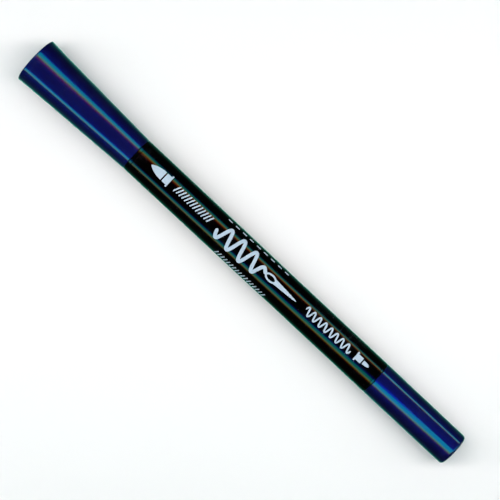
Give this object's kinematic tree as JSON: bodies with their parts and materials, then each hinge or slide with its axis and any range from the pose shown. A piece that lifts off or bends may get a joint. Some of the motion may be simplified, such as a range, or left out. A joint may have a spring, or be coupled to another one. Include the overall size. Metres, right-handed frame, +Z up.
{
  "type": "fabric marking pen",
  "caption": "Fabric marking pen with a brush nib under a flared cap at one end and a bullet nib under a plain cap at the other.",
  "frame": {"origin": "under the middle of the pen's length, level with the lowest point of the flared cap's rim", "axes": "+X along the pen from the flared brush cap to the plain bullet cap, +Z up as the pen lies, +Y completes the frame"},
  "size_m": [0.16, 0.0142, 0.0142],
  "materials": {
    "barrel_plastic": "polished black moulding",
    "holder_plastic": "black moulding, a little duller than the barrel",
    "cap_plastic": "polished navy moulding",
    "seal_plastic": "waxy natural polyethylene",
    "clamp_plastic": "satin natural moulding",
    "nib_felt": "ink-soaked felt",
    "reservoir_fibre": "ink-soaked bonded fibre",
    "reservoir_film": "clear wrapped film",
    "print": "pale blue printed ink"
  },
  "bodies": {
    "pen": {"barrel": "barrel_plastic", "brush_tip_holder": "holder_plastic", "brush_nib_clamp": "clamp_plastic", "brush_nib": "nib_felt", "ink_reservoir": "reservoir_fibre", "reservoir_film": "reservoir_film", "bullet_tip_holder": "holder_plastic", "bullet_nib": "nib_felt"},
    "brush_cap": {"brush_cap_shell": "cap_plastic", "brush_cap_end_plug": "cap_plastic", "brush_cap_inner_seal": "seal_plastic"},
    "bullet_cap": {"bullet_cap_shell": "cap_plastic", "bullet_cap_inner_seal": "seal_plastic"}
  },
  "joints": [
    {"name": "brush_cap_pull", "type": "slide", "parent": "pen", "child": "brush_cap", "axis": [-1, 0, 0], "range_m": [0, 0.045]},
    {"name": "bullet_cap_pull", "type": "slide", "parent": "pen", "child": "bullet_cap", "axis": [1, 0, 0], "range_m": [0, 0.035]}
  ]
}
